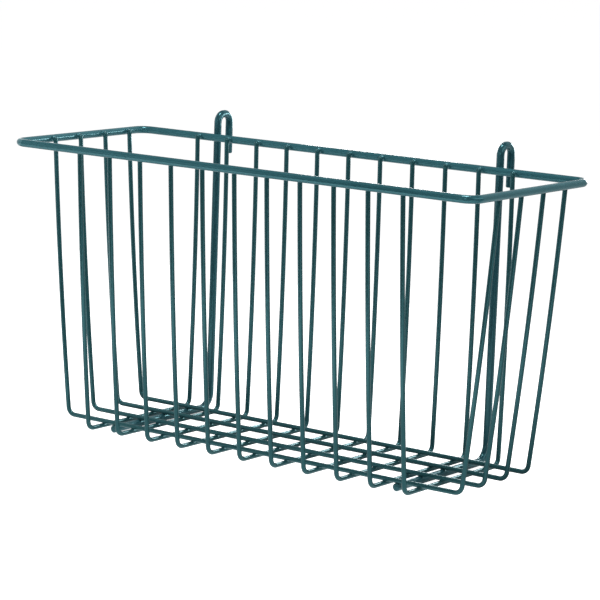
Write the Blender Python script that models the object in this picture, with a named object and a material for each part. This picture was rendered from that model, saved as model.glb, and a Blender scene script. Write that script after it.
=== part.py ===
# Hang-on storage basket of welded steel wire with an epoxy coat, in metres with +Z up.
# A round rim carries two crossed sets of bent wires, and two hook rods that run under
# the floor and up behind the rim hang the basket on a wire panel.
# The origin is on the surface that the basket stands on, in the middle of its plan.

import math

import bpy
from mathutils import Quaternion, Vector

# Outside of the rim, and the rim's top above the surface that the basket stands on.
BASKET_WIDTH = 0.340
BASKET_DEPTH = 0.127
BASKET_HEIGHT = 0.181

# Wire stock with its coat.
RIM_DIAMETER = 0.00475
WIRE_DIAMETER = 0.0029
ROD_DIAMETER = 0.00475

# How far each wall leans in from the rim down to the floor, and how far it bows out.
FRONT_LEAN = 0.0140
BACK_LEAN = 0.0009
END_LEAN = 0.0159
WALL_BOW = 0.0012

# Bends, on the centreline.
RIM_CORNER_RADIUS = 0.008
WIRE_BEND_RADIUS = 0.005
ROD_BEND_RADIUS = 0.010

# Cross wires run from front to back, and the margin is from the end wall to the first.
CROSS_COUNT = 11
CROSS_MARGIN = 0.029

# Long wires run from end to end, and the margins are from the front and back walls.
LONG_COUNT = 4
LONG_FRONT_MARGIN = 0.0145
LONG_BACK_MARGIN = 0.0136

# The wires' cut ends stop just under the top of the rim.
LEG_TOP_DROP = 0.0012

# Hooks: the mouth between rod and tail, the flat that sits on the panel's wire, its
# height above the rim, the tail's length below it, and the rod's end past a long wire.
HOOK_MOUTH = 0.007
HOOK_SEAT = 0.0012
HOOK_RISE = 0.0097
HOOK_TAIL = 0.0233
ROD_OVERHANG = 0.0016

# The pair of rods sits this far from the middle of the width, here a little to the left.
ROD_SHIFT = -0.0029

# Welded wires meet with this much clearance.
WELD_GAP = 0.0003

# Flats round each wire, and straight steps along a bend and along a bowed wall.
WIRE_FLATS = 8
ROD_FLATS = 12
BEND_STEPS = 4
BOW_STEPS = 4

COAT_COLOUR = (0.034, 0.130, 0.141, 1.0)
COAT_ROUGHNESS = 0.32

# Heights of the centrelines: the rods and the cross wires both lie under the long wires.
ROD_Z = ROD_DIAMETER / 2
CROSS_Z = ROD_DIAMETER - WIRE_DIAMETER / 2
LONG_Z = ROD_DIAMETER + WELD_GAP + WIRE_DIAMETER / 2
RIM_Z = BASKET_HEIGHT - RIM_DIAMETER / 2
LEG_TOP_Z = BASKET_HEIGHT - LEG_TOP_DROP

# Plan of the rim's centreline, and of the walls where they meet the rim from inside.
RIM_X = (BASKET_WIDTH - RIM_DIAMETER) / 2
RIM_Y = (BASKET_DEPTH - RIM_DIAMETER) / 2
WALL_INSET = (RIM_DIAMETER + WIRE_DIAMETER) / 2 + WELD_GAP
WALL_X = RIM_X - WALL_INSET
WALL_Y = RIM_Y - WALL_INSET

# Plan of the floor's bends.
FLOOR_X = WALL_X - END_LEAN
FLOOR_FRONT = FRONT_LEAN - WALL_Y
FLOOR_BACK = WALL_Y - BACK_LEAN

# Spacing of the two sets of wires.
CROSS_PITCH = 2 * (FLOOR_X - CROSS_MARGIN) / (CROSS_COUNT - 1)
LONG_FIRST = FLOOR_FRONT + LONG_FRONT_MARGIN
LONG_PITCH = (FLOOR_BACK - LONG_BACK_MARGIN - LONG_FIRST) / (LONG_COUNT - 1)

# The rods stand behind the rim, each midway between the two outermost cross wires but
# for the pair's shift.
ROD_X = FLOOR_X - CROSS_MARGIN - CROSS_PITCH / 2
ROD_Y = RIM_Y + (RIM_DIAMETER + ROD_DIAMETER) / 2 + WELD_GAP
HOOK_TOP_Z = BASKET_HEIGHT + HOOK_RISE + ROD_DIAMETER / 2
TAIL_Y = ROD_Y + HOOK_MOUTH + ROD_DIAMETER
TAIL_END_Z = BASKET_HEIGHT + HOOK_RISE - HOOK_TAIL
HOOK_BEND_RADIUS = (TAIL_Y - ROD_Y - HOOK_SEAT) / 2

# Middle of the plan, between the rim's front and the hooks' backs.
PLAN_MIDDLE_Y = (TAIL_Y + ROD_DIAMETER / 2 - BASKET_DEPTH / 2) / 2


def clear_scene():
    for old in list(bpy.data.objects):
        bpy.data.objects.remove(old, do_unlink=True)


def coat(name):
    """The same dark green epoxy coat for every wire, as a material of its own."""
    material = bpy.data.materials.new(name)
    material.use_nodes = True
    shader = material.node_tree.nodes["Principled BSDF"]
    shader.inputs["Base Color"].default_value = COAT_COLOUR
    shader.inputs["Roughness"].default_value = COAT_ROUGHNESS
    shader.inputs["Metallic"].default_value = 0.0
    return material


def bend(before, corner, after, radius):
    """Points of the arc that rounds a corner of a path."""
    into = (corner - before).normalized()
    out = (after - corner).normalized()
    turn = into.angle(out)
    start = corner - into * radius * math.tan(turn / 2)
    centre = corner + (out - into).normalized() * radius / math.cos(turn / 2)
    axis = into.cross(out)
    return [
        centre + Quaternion(axis, turn * step / BEND_STEPS) @ (start - centre)
        for step in range(BEND_STEPS + 1)
    ]


def bowed(start, end, outward):
    """Points between the ends of a wall's wire, which bows outward at mid height."""
    points = []
    for step in range(1, BOW_STEPS):
        along = step / BOW_STEPS
        bulge = 4 * along * (1 - along) * WALL_BOW
        points.append(start.lerp(end, along) + outward * bulge)
    return points


def wire_curve(name, points, diameter, flats, cyclic=False):
    """A wire of even diameter along a path, with flats square to the path's plane."""
    curve = bpy.data.curves.new(name, "CURVE")
    curve.dimensions = "3D"
    curve.resolution_u = 1
    curve.render_resolution_u = 0
    curve.bevel_depth = diameter / 2 / math.cos(math.pi / flats)
    curve.bevel_resolution = flats // 2 - 2
    curve.use_fill_caps = True
    spline = curve.splines.new("POLY")
    spline.points.add(len(points) - 1)
    for knot, point in zip(spline.points, points):
        knot.co = (*point, 1.0)
        knot.tilt = math.pi / flats
    spline.use_cyclic_u = cyclic
    spline.use_smooth = True
    curve.materials.append(coat(name + "_coat"))
    return curve


def rim_curve():
    corners = [
        Vector((RIM_X, RIM_Y, 0)),
        Vector((-RIM_X, RIM_Y, 0)),
        Vector((-RIM_X, -RIM_Y, 0)),
        Vector((RIM_X, -RIM_Y, 0)),
    ]
    points = []
    for index, corner in enumerate(corners):
        following = corners[(index + 1) % len(corners)]
        points += bend(corners[index - 1], corner, following, RIM_CORNER_RADIUS)
    return wire_curve("top_rim", points, RIM_DIAMETER, ROD_FLATS, cyclic=True)


def basket_wire_curve(name, tops, feet, outward):
    """A wire that comes down one wall, crosses the floor and goes up the other wall."""
    down = [tops[0], *bowed(tops[0], feet[0], outward[0])]
    up = [*bowed(feet[1], tops[1], outward[1]), tops[1]]
    first_bend = bend(down[-1], feet[0], feet[1], WIRE_BEND_RADIUS)
    last_bend = bend(feet[0], feet[1], up[0], WIRE_BEND_RADIUS)
    points = down + first_bend + last_bend + up
    return wire_curve(name, points, WIRE_DIAMETER, WIRE_FLATS)


def wall_top(at_rim, foot):
    """Where a wall's wire that passes the rim at a point is cut, above that point."""
    return foot.lerp(at_rim, (LEG_TOP_Z - foot.z) / (at_rim.z - foot.z))


def cross_wire_curve():
    feet = [Vector((0, FLOOR_FRONT, CROSS_Z)), Vector((0, FLOOR_BACK, CROSS_Z))]
    at_rim = [Vector((0, -WALL_Y, RIM_Z)), Vector((0, WALL_Y, RIM_Z))]
    tops = [wall_top(*pair) for pair in zip(at_rim, feet)]
    outward = [Vector((0, -1, 0)), Vector((0, 1, 0))]
    return basket_wire_curve("cross_wire", tops, feet, outward)


def long_wire_curve():
    feet = [Vector((-FLOOR_X, 0, LONG_Z)), Vector((FLOOR_X, 0, LONG_Z))]
    at_rim = [Vector((-WALL_X, 0, RIM_Z)), Vector((WALL_X, 0, RIM_Z))]
    tops = [wall_top(*pair) for pair in zip(at_rim, feet)]
    outward = [Vector((-1, 0, 0)), Vector((1, 0, 0))]
    return basket_wire_curve("long_wire", tops, feet, outward)


def hook_rod_curve():
    front_end = Vector((0, LONG_FIRST - ROD_OVERHANG, ROD_Z))
    heel = Vector((0, ROD_Y, ROD_Z))
    hook_front = Vector((0, ROD_Y, HOOK_TOP_Z))
    hook_back = Vector((0, TAIL_Y, HOOK_TOP_Z))
    tail_end = Vector((0, TAIL_Y, TAIL_END_Z))
    points = [front_end]
    points += bend(front_end, heel, hook_front, ROD_BEND_RADIUS)
    points += bend(heel, hook_front, hook_back, HOOK_BEND_RADIUS)
    points += bend(hook_front, hook_back, tail_end, HOOK_BEND_RADIUS)
    points.append(tail_end)
    return wire_curve("hook_rod", points, ROD_DIAMETER, ROD_FLATS)


def place(name, curve, basket, location):
    piece = bpy.data.objects.new(name, curve)
    piece.parent = basket
    piece.location = location
    bpy.context.collection.objects.link(piece)


def build_basket():
    clear_scene()
    basket = bpy.data.objects.new("basket", None)
    basket.location = (0, -PLAN_MIDDLE_Y, 0)
    bpy.context.collection.objects.link(basket)

    place("top_rim", rim_curve(), basket, (0, 0, RIM_Z))

    cross_wire = cross_wire_curve()
    for index in range(CROSS_COUNT):
        x = CROSS_MARGIN - FLOOR_X + index * CROSS_PITCH
        place(f"cross_wire_{index + 1:02d}", cross_wire, basket, (x, 0, 0))

    long_wire = long_wire_curve()
    for index in range(LONG_COUNT):
        y = LONG_FIRST + index * LONG_PITCH
        place(f"long_wire_{index + 1}", long_wire, basket, (0, y, 0))

    hook_rod = hook_rod_curve()
    for side, x in (("left", -ROD_X), ("right", ROD_X)):
        place(f"hook_rod_{side}", hook_rod, basket, (x + ROD_SHIFT, 0, 0))

    bpy.context.view_layer.update()


build_basket()
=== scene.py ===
import math

import bmesh
import bpy
from mathutils import Matrix, Vector


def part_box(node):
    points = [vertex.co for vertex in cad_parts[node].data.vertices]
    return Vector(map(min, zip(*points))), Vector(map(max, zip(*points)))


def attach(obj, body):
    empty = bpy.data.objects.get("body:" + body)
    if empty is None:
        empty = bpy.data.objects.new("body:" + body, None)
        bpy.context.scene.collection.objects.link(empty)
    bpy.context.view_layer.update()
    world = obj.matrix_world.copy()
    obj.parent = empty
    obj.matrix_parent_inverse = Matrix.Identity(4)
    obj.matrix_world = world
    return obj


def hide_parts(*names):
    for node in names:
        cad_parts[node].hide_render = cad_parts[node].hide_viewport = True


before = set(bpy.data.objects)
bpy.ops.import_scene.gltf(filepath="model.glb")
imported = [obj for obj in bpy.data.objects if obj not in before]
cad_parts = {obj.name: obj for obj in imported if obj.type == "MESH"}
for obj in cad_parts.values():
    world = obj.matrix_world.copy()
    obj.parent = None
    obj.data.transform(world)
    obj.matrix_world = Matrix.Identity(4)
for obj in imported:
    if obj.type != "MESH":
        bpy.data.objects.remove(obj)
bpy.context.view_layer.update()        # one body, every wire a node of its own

body = "root"
xAxis = Vector((1, 0, 0))
yAxis = Vector((0, 1, 0))
zAxis = Vector((0, 0, 1))


# the coat, thin on the wires, duller over the welds; the rim gets a lighter, bluer copy of it,
# painted light standing in for the stronger light that falls on the rim
wireCoat = {
    "deepTone": (0.0235, 0.090, 0.1005, 1),      # where the coat lies thick
    "thinTone": (0.0290, 0.1105, 0.1235, 1),     # where it is drawn thin
    "toneSpan": (0.34, 0.66),                    # noise levels of those two tones
    "toneScale": 42,                             # blotches per metre
    "toneDetail": 4.0,
    "toneRough": 0.55,
    "speckScale": 1500,                          # pigment specks per metre
    "speckDetail": 1.0,
    "speckShare": 0.22,
    "glossRange": (0.12, 0.19),                  # roughness, smooth to dull
    "glossSpan": (0.3, 0.7),                     # noise levels of smooth and dull
    "glossScale": 160,
    "glossDetail": 3.0,
    "refraction": 1.5,
    "mirrorLevel": 0.885,
    "mirrorTint": (0.34, 0.904, 1.0, 1),         # the gloss takes on the coat's colour
    "flowScale": 330,                            # slow ripple of the cured coat
    "flowDetail": 1.0,
    "flowHeight": 0.00016,
    "peelScale": 1100,                           # fine orange peel
    "peelDetail": 2.0,
    "peelHeight": 0.00004,
    "bumpStrength": 0.35,
}

# painted light: the same coat made lighter, because more light falls on the rim
rimCoatPaintedLight = dict(
    wireCoat,
    deepTone=(0.039, 0.151, 0.179, 1),
    thinTone=(0.0465, 0.180, 0.2135, 1),
)

rodCoat = dict(
    wireCoat,
    deepTone=(0.0257, 0.0925, 0.1125, 1),
    thinTone=(0.0315, 0.1135, 0.138, 1),
)

weldCoat = dict(
    wireCoat,
    deepTone=(0.0215, 0.083, 0.0925, 1),
    thinTone=(0.0265, 0.102, 0.1135, 1),
    glossRange=(0.18, 0.28),
    flowScale=620,
    bumpStrength=0.55,
)


def noiseNode(tree, place, scale, detail):
    noise = tree.nodes.new("ShaderNodeTexNoise")
    noise.inputs["Scale"].default_value = scale
    noise.inputs["Detail"].default_value = detail
    tree.links.new(place.outputs["Object"], noise.inputs["Vector"])
    return noise


def coatTone(tree, place, look):
    # slow change of thickness with fine pigment over it
    blotch = noiseNode(tree, place, look["toneScale"], look["toneDetail"])
    blotch.inputs["Roughness"].default_value = look["toneRough"]
    speck = noiseNode(tree, place, look["speckScale"], look["speckDetail"])
    thickness = tree.nodes.new("ShaderNodeMix")
    thickness.data_type = "FLOAT"
    thickness.inputs["Factor"].default_value = look["speckShare"]
    tree.links.new(blotch.outputs["Fac"], thickness.inputs["A"])
    tree.links.new(speck.outputs["Fac"], thickness.inputs["B"])
    tone = tree.nodes.new("ShaderNodeValToRGB")
    deep, thin = tone.color_ramp.elements
    deep.position, thin.position = look["toneSpan"]
    deep.color = look["deepTone"]
    thin.color = look["thinTone"]
    tree.links.new(thickness.outputs["Result"], tone.inputs["Fac"])
    return tone.outputs["Color"]


def coatGloss(tree, place, look):
    # patches that cured a little duller
    dull = noiseNode(tree, place, look["glossScale"], look["glossDetail"])
    gloss = tree.nodes.new("ShaderNodeMapRange")
    gloss.inputs["From Min"].default_value = look["glossSpan"][0]
    gloss.inputs["From Max"].default_value = look["glossSpan"][1]
    gloss.inputs["To Min"].default_value = look["glossRange"][0]
    gloss.inputs["To Max"].default_value = look["glossRange"][1]
    tree.links.new(dull.outputs["Fac"], gloss.inputs["Value"])
    return gloss.outputs["Result"]


def coatRipple(tree, place, look):
    # slow flow of the coat under fine peel
    flow = noiseNode(tree, place, look["flowScale"], look["flowDetail"])
    peel = noiseNode(tree, place, look["peelScale"], look["peelDetail"])
    ripple = tree.nodes.new("ShaderNodeBump")
    ripple.inputs["Strength"].default_value = look["bumpStrength"]
    ripple.inputs["Distance"].default_value = look["flowHeight"]
    tree.links.new(flow.outputs["Fac"], ripple.inputs["Height"])
    grain = tree.nodes.new("ShaderNodeBump")
    grain.inputs["Strength"].default_value = look["bumpStrength"]
    grain.inputs["Distance"].default_value = look["peelHeight"]
    tree.links.new(peel.outputs["Fac"], grain.inputs["Height"])
    tree.links.new(ripple.outputs["Normal"], grain.inputs["Normal"])
    return grain.outputs["Normal"]


def epoxyCoat(name, look):
    material = bpy.data.materials.new(name)
    material.use_nodes = True
    tree = material.node_tree
    place = tree.nodes.new("ShaderNodeTexCoord")
    surface = tree.nodes["Principled BSDF"].inputs
    tree.links.new(coatTone(tree, place, look), surface["Base Color"])
    tree.links.new(coatGloss(tree, place, look), surface["Roughness"])
    tree.links.new(coatRipple(tree, place, look), surface["Normal"])
    surface["Metallic"].default_value = 0.0
    surface["IOR"].default_value = look["refraction"]
    surface["Specular IOR Level"].default_value = look["mirrorLevel"]
    surface["Specular Tint"].default_value = look["mirrorTint"]
    return material


coatOnWire = epoxyCoat("coatOnWire", wireCoat)
# the rim's material is the lighter copy of the coat: painted light
coatOnRimPaintedLight = epoxyCoat("coatOnRimPaintedLight", rimCoatPaintedLight)
coatOnRod = epoxyCoat("coatOnRod", rodCoat)
coatOnWeld = epoxyCoat("coatOnWeld", weldCoat)
print("coat: four mixes of the green epoxy")


# straight lengths and bends, one after another, make a wire
def feed(length):
    return {"length": length}


def bend(radius, angle, steps):
    return {"radius": radius, "angle": angle, "steps": steps}


def newEdges(made):
    verts = {item for item in made if isinstance(item, bmesh.types.BMVert)}
    return [
        item for item in made
        if isinstance(item, bmesh.types.BMEdge) and all(vert in verts for vert in item.verts)
    ]


def bendWire(name, node, stock, spot, heading, axis, moves, closed=False):
    # runs a round section along straight feeds and bends, as a wire bender does
    bm = bmesh.new()
    facing = heading.to_track_quat("Z", "Y").to_matrix().to_4x4()
    bmesh.ops.create_circle(
        bm, cap_ends=False, segments=stock["sides"], radius=stock["size"] / 2,
        matrix=Matrix.Translation(spot) @ facing,
    )
    firstRing = bm.edges[:]
    ring = firstRing
    for move in moves:
        if "length" in move:
            made = bmesh.ops.extrude_edge_only(bm, edges=ring)["geom"]
            ring = newEdges(made)
            verts = [item for item in made if isinstance(item, bmesh.types.BMVert)]
            step = heading * move["length"]
            bmesh.ops.translate(bm, verts=verts, vec=step)
            spot = spot + step
            continue
        side = axis.cross(heading)
        centre = spot + side * math.copysign(move["radius"], move["angle"])
        made = bmesh.ops.spin(
            bm, geom=ring, cent=centre, axis=axis, angle=move["angle"],
            steps=move["steps"], use_merge=False,
        )["geom_last"]
        ring = newEdges(made)
        turn = Matrix.Rotation(move["angle"], 3, axis)
        spot = centre + turn @ (spot - centre)
        heading = turn @ heading
    if closed:
        bmesh.ops.remove_doubles(bm, verts=bm.verts[:], dist=stock["seam"])
    else:
        for end in (firstRing, ring):
            bmesh.ops.edgeloop_fill(bm, edges=end)
        bmesh.ops.bevel(
            bm, geom=firstRing + ring, offset=stock["endRound"], offset_type="OFFSET",
            affect="EDGES", segments=stock["endSteps"], profile=0.5, material=-1,
        )
    finishPiece(name, bm, stock["coat"], node)


def finishPiece(name, bm, material, node=None):
    bmesh.ops.recalc_face_normals(bm, faces=bm.faces[:])
    mesh = bpy.data.meshes.new(name)
    bm.to_mesh(mesh)
    bm.free()
    mesh.shade_smooth()
    mesh.materials.append(material)
    piece = bpy.data.objects.new(name, mesh)
    bpy.context.scene.collection.objects.link(piece)
    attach(piece, body)
    if node:
        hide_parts(node)


# the rim, one closed ring
rimLow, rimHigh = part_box("top_rim")

rim = {
    # lighter coat: painted light for the extra light on the rim
    "coat": coatOnRimPaintedLight,
    "size": rimHigh.z - rimLow.z,
    "sides": 40,
    "corner": 0.008,         # bend radius on the centreline
    "cornerSteps": 18,
    "seam": 0.00001,         # reach of the merge where the ring closes
}

rimZ = (rimLow.z + rimHigh.z) / 2
rimHalf = rim["size"] / 2
rimRun = rimHigh.x - rimLow.x - rim["size"] - 2 * rim["corner"]
rimEnd = rimHigh.y - rimLow.y - rim["size"] - 2 * rim["corner"]
quarter = bend(rim["corner"], math.pi / 2, rim["cornerSteps"])
bendWire(
    "coated_top_rim", "top_rim", rim,
    Vector((rimLow.x + rimHalf + rim["corner"], rimLow.y + rimHalf, rimZ)), xAxis, zAxis,
    [feed(rimRun), quarter, feed(rimEnd), quarter, feed(rimRun), quarter, feed(rimEnd), quarter],
    closed=True,
)
print("rim:", round(rim["size"] * 1000, 2), "mm round, closed")


# the two crossed sets of wires that make the walls and the floor
crossNodes = sorted(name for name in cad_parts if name.startswith("cross_wire_"))
longNodes = sorted(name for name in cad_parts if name.startswith("long_wire_"))
firstLow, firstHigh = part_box(crossNodes[0])

wire = {
    "coat": coatOnWire,
    "size": firstHigh.x - firstLow.x,
    "sides": 28,
    "endRound": 0.00115,     # cut ends, softened by the coat
    "endSteps": 5,
    "gap": 0.0003,           # between welded wires
    "setDown": 0.0005,       # long wires pressed on to what lies under them
    "topDrop": 0.0012,       # cut ends below the rim's top
    "frontLean": 0.0140,     # each wall's lean from rim to floor
    "backLean": 0.0009,
    "endLean": 0.0159,
    "bow": 0.0012,           # outward at mid height
    "bowSteps": 18,
    "corner": 0.005,         # floor bend on the centreline
    "cornerSteps": 12,
}

wireTopZ = rimHigh.z - wire["topDrop"]
wallInset = rim["size"] + wire["gap"] + wire["size"] / 2


def wallLeg(lean, drop):
    # the bowed wall as a wide arc, with the floor bend tangent to it and to the floor
    chord = math.hypot(lean, drop)
    wallRadius = chord ** 2 / (8 * wire["bow"]) + wire["bow"] / 2
    inward = Vector((drop, lean)) / chord
    wallCentre = Vector((lean, -drop)) / 2 + inward * (wallRadius - wire["bow"])
    bendZ = wire["corner"] - drop
    reach = math.sqrt((wallRadius - wire["corner"]) ** 2 - (bendZ - wallCentre.y) ** 2)
    topAngle = math.atan2(-wallCentre.y, -wallCentre.x) % (2 * math.pi)
    footAngle = math.atan2(bendZ - wallCentre.y, -reach) % (2 * math.pi)
    return {
        "heading": topAngle + math.pi / 2,
        "wall": bend(wallRadius, footAngle - topAngle, wire["bowSteps"]),
        "foot": bend(wire["corner"], 1.5 * math.pi - footAngle, wire["cornerSteps"]),
        "inset": wallCentre.x - reach,
    }


def basketWire(node, start, along, span, drop, nearLean, farLean):
    near = wallLeg(nearLean, drop)
    far = wallLeg(farLean, drop)
    heading = along * math.cos(near["heading"]) + zAxis * math.sin(near["heading"])
    floorRun = feed(span - near["inset"] - far["inset"])
    bendWire(
        "coated_" + node, node, wire, start, heading, along.cross(zAxis),
        [near["wall"], near["foot"], floorRun, far["foot"], far["wall"]],
    )


frontTop = rimLow.y + wallInset
backTop = rimHigh.y - wallInset
leftTop = rimLow.x + wallInset
rightTop = rimHigh.x - wallInset

crossX = []
for node in crossNodes:
    low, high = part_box(node)
    crossX.append((low.x + high.x) / 2)
    crossZ = low.z + wire["size"] / 2
    basketWire(
        node, Vector((crossX[-1], frontTop, wireTopZ)), yAxis,
        backTop - frontTop, wireTopZ - crossZ, wire["frontLean"], wire["backLean"],
    )
print("cross wires:", len(crossX))

longY = []
for node in longNodes:
    low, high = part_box(node)
    longY.append((low.y + high.y) / 2)
    longZ = low.z + wire["size"] / 2 - wire["setDown"]
    basketWire(
        node, Vector((leftTop, longY[-1], wireTopZ)), xAxis,
        rightTop - leftTop, wireTopZ - longZ, wire["endLean"], wire["endLean"],
    )
print("long wires:", len(longY))


# the rods under the floor, with their hooks behind the rim
rodNodes = ["hook_rod_left", "hook_rod_right"]
rodLow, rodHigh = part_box(rodNodes[0])

rod = {
    "coat": coatOnRod,
    "size": rodHigh.x - rodLow.x,
    "sides": 36,
    "endRound": 0.0007,
    "endSteps": 5,
    "corner": 0.010,         # bend under the back wall
    "cornerSteps": 16,
    "mouth": 0.007,          # clear between riser and tail
    "seat": 0.0012,          # flat at the hook's top
    "hookSteps": 16,
    "tail": 0.0233,          # below the hook's inside
}

rodHalf = rod["size"] / 2
hookRadius = (rod["mouth"] + rod["size"] - rod["seat"]) / 2

rodX = []
for node in rodNodes:
    low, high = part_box(node)
    rodX.append((low.x + high.x) / 2)
    riserY = high.y - rod["size"] - rod["mouth"] - rodHalf     # in front of tail and mouth
    floorRun = riserY - rod["corner"] - low.y
    riserRun = high.z - low.z - rod["size"] - rod["corner"] - hookRadius
    tailRun = rod["tail"] + rodHalf - hookRadius
    hookTurn = bend(hookRadius, -math.pi / 2, rod["hookSteps"])
    bendWire(
        "coated_" + node, node, rod, Vector((rodX[-1], low.y, low.z + rodHalf)), yAxis, xAxis,
        [
            feed(floorRun), bend(rod["corner"], math.pi / 2, rod["cornerSteps"]),
            feed(riserRun), hookTurn, feed(rod["seat"]), hookTurn, feed(tailRun),
        ],
    )
print("hook rods:", len(rodX), "with open hooks")


# small collars of weld where wires touch
bead = {
    "sides": 20,
    # depth into a wire, then half lengths along it and across it, in wire radii
    "rootDepth": 0.60, "rootAlong": 1.20, "rootAcross": 0.78,
    "lipDepth": 0.14, "lipAlong": 1.05, "lipAcross": 0.66,
    "waist": 0.80,           # of the thinner wire's radius
}


def beadRing(bm, place, height, size, capped):
    made = bmesh.ops.create_circle(
        bm, cap_ends=capped, segments=bead["sides"], radius=1.0,
        matrix=place @ Matrix.Translation((0, 0, height)) @ Matrix.Diagonal((*size, 1, 1)),
    )["verts"]
    return list(dict.fromkeys(edge for vert in made for edge in vert.link_edges))


def addBead(bm, spot, upward, alongUpper, upperRadius, lowerRadius, gap):
    # a small collar of weld and coat, from inside the lower wire to inside the upper
    waist = bead["waist"] * min(upperRadius, lowerRadius)
    rings = [(0.0, (waist, waist))]
    for radius, way in ((lowerRadius, -1), (upperRadius, 1)):
        for part in ("root", "lip"):
            along = bead[part + "Along"] * radius
            across = bead[part + "Across"] * radius
            size = (along, across) if way > 0 else (across, along)
            rings.append((way * (gap / 2 + bead[part + "Depth"] * radius), size))
    rings.sort()
    turn = Matrix((alongUpper, upward.cross(alongUpper), upward)).transposed().to_4x4()
    place = Matrix.Translation(spot) @ turn
    below = None
    for ring in rings:
        capped = ring in (rings[0], rings[-1])
        above = beadRing(bm, place, *ring, capped)
        if below:
            bmesh.ops.bridge_loops(bm, edges=below + above)
        below = above


# runs of coat that fill the crook between each wire's end and the rim's shoulder
run = {
    "inset": 0.0024,         # from the rim's centreline
    "rise": 0.0010,
    "halves": (0.0016, 0.0016, 0.00075),     # along the rim, down the slope, thick
    "slope": math.radians(25.5),
    "around": 20,
    "rows": 12,
}


def addRun(bm, spot, inward):
    along = inward.cross(zAxis)
    turn = Matrix((along, zAxis.cross(along), zAxis)).transposed().to_4x4()
    place = Matrix.Translation(spot + inward * run["inset"] + zAxis * run["rise"]) @ turn
    tilt = Matrix.Rotation(-run["slope"], 4, "X")
    bmesh.ops.create_uvsphere(
        bm, u_segments=run["around"], v_segments=run["rows"], radius=1.0,
        matrix=place @ tilt @ Matrix.Diagonal((*run["halves"], 1)),
    )


wireHalf = wire["size"] / 2
gap = wire["gap"]

floorBeads = bmesh.new()
floorContactZ = longZ - wireHalf + (wire["setDown"] - gap) / 2
for y in longY:
    for x in crossX:
        addBead(floorBeads, Vector((x, y, floorContactZ)), zAxis, xAxis, wireHalf, wireHalf, gap)
    for x in rodX:
        addBead(floorBeads, Vector((x, y, floorContactZ)), zAxis, xAxis, wireHalf, rodHalf, gap)
finishPiece("floor_weld_beads", floorBeads, coatOnWeld)

rimBeads = bmesh.new()
for x in crossX:
    for y, inward in ((rimLow.y + rim["size"], 1), (rimHigh.y - rim["size"], -1)):
        spot = Vector((x, y + inward * gap / 2, rimZ))
        addBead(rimBeads, spot, yAxis * inward, zAxis, wireHalf, rimHalf, gap)
        addRun(rimBeads, spot - yAxis * inward * (gap / 2 + rimHalf), yAxis * inward)
for y in longY:
    for x, inward in ((rimLow.x + rim["size"], 1), (rimHigh.x - rim["size"], -1)):
        spot = Vector((x + inward * gap / 2, y, rimZ))
        addBead(rimBeads, spot, xAxis * inward, zAxis, wireHalf, rimHalf, gap)
        addRun(rimBeads, spot - xAxis * inward * (gap / 2 + rimHalf), xAxis * inward)
for x in rodX:
    spot = Vector((x, rimHigh.y + gap / 2, rimZ))
    addBead(rimBeads, spot, yAxis, zAxis, rodHalf, rimHalf, gap)
# the collars and runs on the rim take the rim's lighter copy of the coat, painted light that
# also lifts the shade in the crook
finishPiece("rim_weld_beads", rimBeads, coatOnRimPaintedLight)
print("weld beads: floor and rim")


# the pale table that the basket stands on
table = {
    "size": 40.0,
    "drop": 0.0002,
    "tone": (0.92, 0.92, 0.92, 1),
    "rough": 0.9,
    "shine": 0.1,
    "glowTone": (1, 1, 1, 1),
    "glow": 1.0,             # lit from below, so no shadow shows on it
}

floorShape = bmesh.new()
bmesh.ops.create_grid(
    floorShape, x_segments=2, y_segments=2, size=table["size"] / 2,
    matrix=Matrix.Translation((0, 0, -table["drop"])),
)
floorMesh = bpy.data.meshes.new("studio_floor")
floorShape.to_mesh(floorMesh)
floorShape.free()
floorPaint = bpy.data.materials.new("palePaint")
floorPaint.use_nodes = True
floorLook = floorPaint.node_tree.nodes["Principled BSDF"].inputs
floorLook["Base Color"].default_value = table["tone"]
floorLook["Roughness"].default_value = table["rough"]
floorLook["Specular IOR Level"].default_value = table["shine"]
floorLook["Emission Color"].default_value = table["glowTone"]
floorLook["Emission Strength"].default_value = table["glow"]
floorMesh.materials.append(floorPaint)
floor = bpy.data.objects.new("studio_floor", floorMesh)
bpy.context.scene.collection.objects.link(floor)
floor.visible_diffuse = False      # the panels alone light the wires
floor.visible_glossy = False
floor.visible_shadow = False
print("table: pale, lit from below")


# the camera, at the photo's angle
photoCamera = {
    "spot": (0.937758, -1.275157, 0.366927),
    "yaw": -0.6327313,       # radians, towards +X from +Y
    "pitch": 0.1708452,      # down
    "roll": 0.0353990,
    "focalPixels": 2659.54,
    "imagePixels": 600,
    "sensor": 36.0,
    "clip": (0.01, 100),
}

cameraData = bpy.data.cameras.new("photoCamera")
cameraData.sensor_width = photoCamera["sensor"]
cameraData.sensor_fit = "HORIZONTAL"
cameraData.lens = photoCamera["focalPixels"] / photoCamera["imagePixels"] * photoCamera["sensor"]
cameraData.clip_start, cameraData.clip_end = photoCamera["clip"]
camera = bpy.data.objects.new("photoCamera", cameraData)
camera.matrix_world = (
    Matrix.Translation(photoCamera["spot"])
    @ Matrix.Rotation(-photoCamera["yaw"], 4, "Z")
    @ Matrix.Rotation(math.pi / 2 - photoCamera["pitch"], 4, "X")
    @ Matrix.Rotation(photoCamera["roll"], 4, "Z")
)
bpy.context.scene.collection.objects.link(camera)
bpy.context.scene.camera = camera
print("camera:", round(cameraData.lens), "mm lens")


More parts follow.
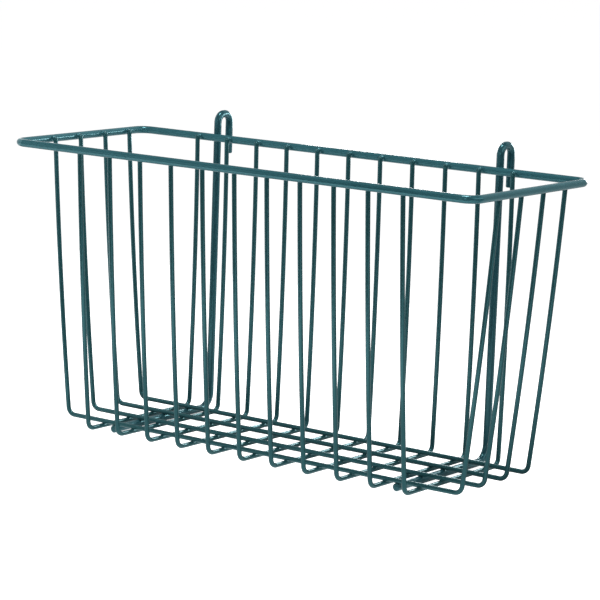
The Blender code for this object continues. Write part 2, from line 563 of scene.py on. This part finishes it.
# a light tent of soft panels: middle, way it faces, width, height and glow
roomGlow = 0.02
panels = {
    "tableFront": ((0, -0.29, -0.002), (0, 0, 1), 1.6, 0.18, 1.35),
    "tableMiddle": ((0, -0.11, -0.002), (0, 0, 1), 1.6, 0.18, 0.52),
    "tableBack": ((0, 0.275, -0.002), (0, 0, 1), 1.6, 0.45, 0.52),
    "tableNear": ((0, -0.02, -0.003), (0, 0, 1), 0.7, 0.6, 0.25),
    "topFront": ((0, -0.165, 0.80), (0, 0, -1), 1.6, 0.43, 0.24),
    "overhead": ((-0.02, -0.06, 1.0), (0, 0, -1), 0.30, 0.30, 14),
    "back": ((0, 0.50, 0.40), (0, -1, 0), 1.6, 0.8, 0.47),
    "lowBackLeft": ((-0.15, 0.30, 0.205), (0, -1, 0), 0.14, 0.09, 9),       # glints on the rods
    "lowBackRight": ((0.105, 0.30, 0.205), (0, -1, 0), 0.14, 0.09, 9),
    "left": ((-0.45, 0, 0.22), (1, 0, 0), 0.5, 0.44, 0.85),
    "leftFront": ((-0.47, -0.42, 0.23), (1, 1, -0.1), 0.4, 0.44, 0.48),
    "frontLeft": ((-0.17, -0.98, 0.3), (0.17, 0.97, -0.2), 0.35, 0.6, 0.83),
    "strip": ((0.29, -1.0, 0.48), (-0.26, 0.90, -0.34), 0.08, 0.85, 3.75),
    "right": ((0.80, 0.06, 0.575), (-1, 0, 0), 0.88, 0.45, 1.50),
}

world = bpy.data.worlds.new("dimRoom")
world.use_nodes = True
world.node_tree.nodes["Background"].inputs["Strength"].default_value = roomGlow
bpy.context.scene.world = world


def addPanel(name, spot, facing, width, height, glow):
    data = bpy.data.lights.new(name, "AREA")
    data.shape = "RECTANGLE"
    data.size = width
    data.size_y = height
    data.energy = glow * math.pi * width * height
    lamp = bpy.data.objects.new(name, data)
    lamp.location = spot
    lamp.rotation_euler = Vector(facing).to_track_quat("-Z", "Y").to_euler()
    lamp.visible_camera = False
    bpy.context.scene.collection.objects.link(lamp)


for name, panel in panels.items():
    addPanel(name, *panel)

bpy.context.scene.view_settings.view_transform = "Standard"
print("light tent:", len(panels), "soft panels")
